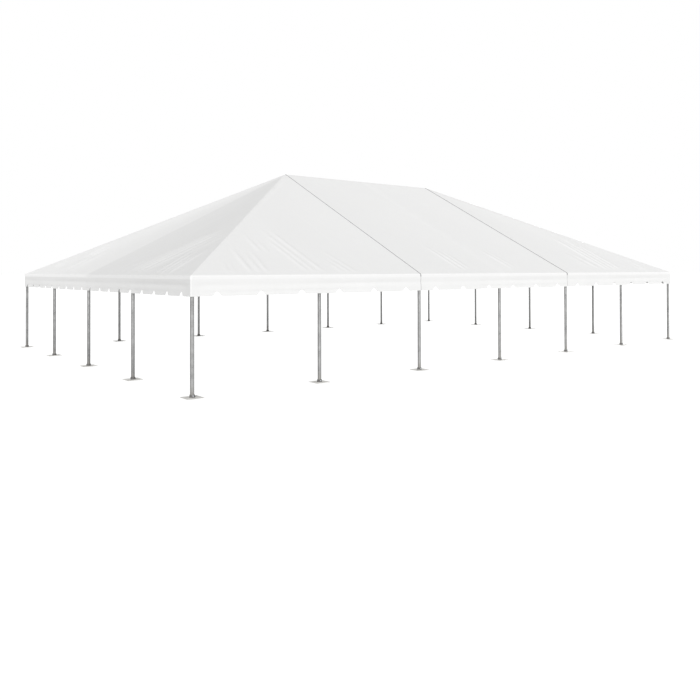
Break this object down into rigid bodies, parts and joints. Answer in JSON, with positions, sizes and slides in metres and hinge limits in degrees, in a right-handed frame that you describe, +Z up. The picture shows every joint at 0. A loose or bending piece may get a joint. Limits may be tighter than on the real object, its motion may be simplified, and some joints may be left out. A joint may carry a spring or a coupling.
{
  "type": "frame tent",
  "caption": "Long hip-roofed marquee tent: a white vinyl top with a scalloped valance stretched over a round-tube frame on straight legs with square base plates, open on all sides.",
  "frame": {"origin": "middle of the plan, at ground level under the base plates", "axes": "+X along the ridge towards the right end, +Y towards the back long side, +Z up"},
  "size_m": [18.644, 12.548, 5.52],
  "materials": {
    "leg": "satin mill-finish aluminium tube",
    "frame_tube": "satin aluminium tube",
    "crown_fitting": "rough cast aluminium",
    "top_vinyl": "white coated block-out vinyl with a soft sheen",
    "valance_vinyl": "white coated vinyl with a bound lower edge"
  },
  "bodies": {
    "root": {"leg_front_1": "leg", "leg_front_2": "leg", "leg_front_3": "leg", "leg_front_4": "leg", "leg_front_5": "leg", "leg_front_6": "leg", "leg_front_7": "leg", "leg_back_1": "leg", "leg_back_2": "leg", "leg_back_3": "leg", "leg_back_4": "leg", "leg_back_5": "leg", "leg_back_6": "leg", "leg_back_7": "leg", "leg_left_1": "leg", "leg_left_2": "leg", "leg_left_3": "leg", "leg_right_1": "leg", "leg_right_2": "leg", "leg_right_3": "leg", "eave_rail_front": "frame_tube", "eave_rail_back": "frame_tube", "eave_rail_left": "frame_tube", "eave_rail_right": "frame_tube", "ridge_tube": "frame_tube", "rafter_front_left": "frame_tube", "rafter_front_right": "frame_tube", "rafter_back_left": "frame_tube", "rafter_back_right": "frame_tube", "rafter_left_middle": "frame_tube", "rafter_right_middle": "frame_tube", "hip_rafter_front_left": "frame_tube", "hip_rafter_front_right": "frame_tube", "hip_rafter_back_left": "frame_tube", "hip_rafter_back_right": "frame_tube", "crown_left": "crown_fitting", "crown_right": "crown_fitting", "top_left": "top_vinyl", "top_middle": "top_vinyl", "top_right": "top_vinyl", "valance_front": "valance_vinyl", "valance_back": "valance_vinyl", "valance_left": "valance_vinyl", "valance_right": "valance_vinyl"}
  },
  "joints": []
}
